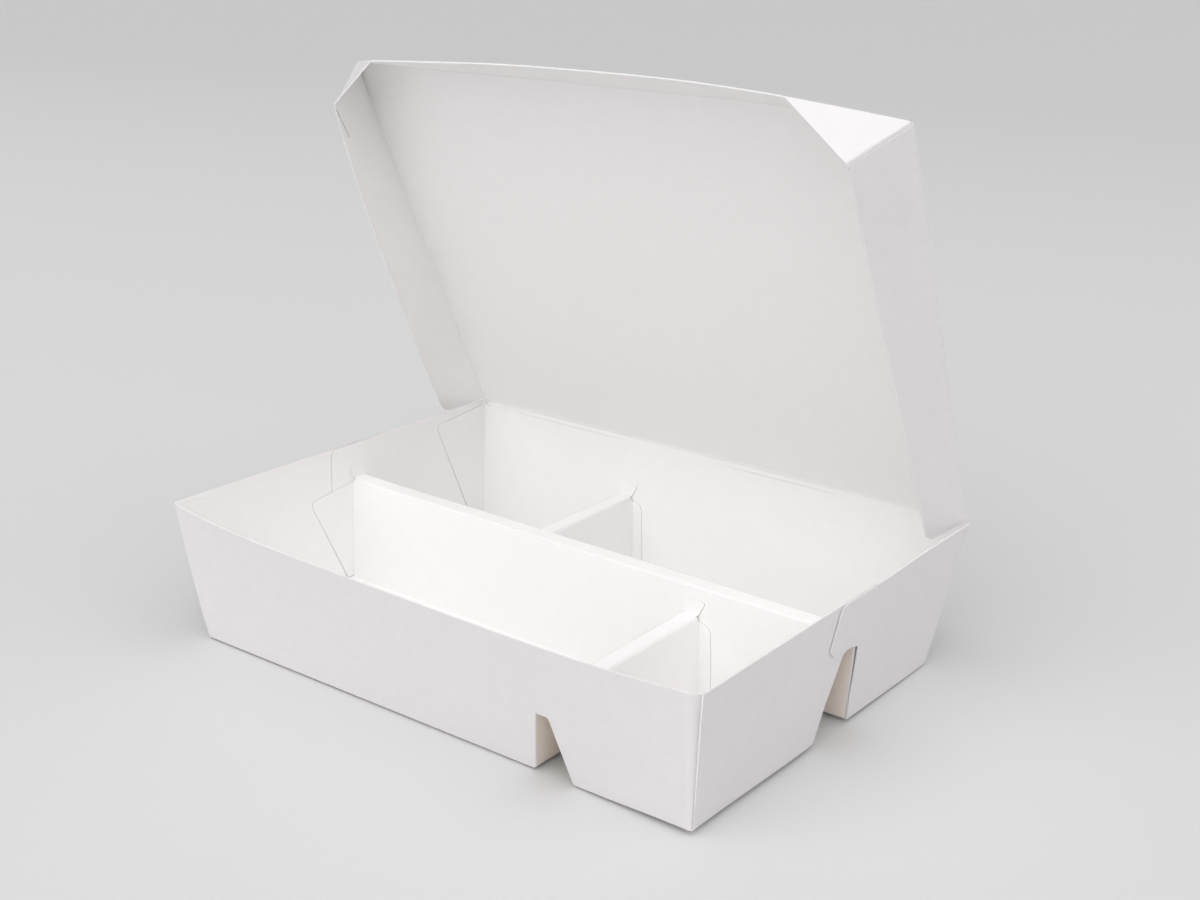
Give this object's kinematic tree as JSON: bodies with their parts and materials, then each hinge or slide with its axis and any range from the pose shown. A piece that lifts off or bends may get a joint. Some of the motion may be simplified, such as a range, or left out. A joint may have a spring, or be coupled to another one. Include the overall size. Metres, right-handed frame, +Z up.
{
  "type": "takeaway box",
  "caption": "Folding white paperboard takeaway box, its tray parted by a long ridge and cross ridges, with a hinged lid that has inward sides and glued front corners.",
  "frame": {"origin": "on the table under the middle of the box, midway between the end walls and between the front and rear rims", "axes": "+X along the length, from the left end to the right end seen from the front; +Y from the front wall to the hinge wall; +Z up"},
  "size_m": [0.2306, 0.1644, 0.2034],
  "materials": {
    "tray_board": "clay-coated white folding board, matt",
    "lid_board": "clay-coated white folding board, matt"
  },
  "bodies": {
    "tray": {"tray": "tray_board"},
    "lid": {"lid": "lid_board"}
  },
  "joints": [
    {"name": "lid_hinge", "type": "hinge", "parent": "tray", "child": "lid", "pos_m": [0, 0.08195, 0.0525], "axis": [-1, 0, 0], "range_deg": [-57, 114.5]}
  ]
}
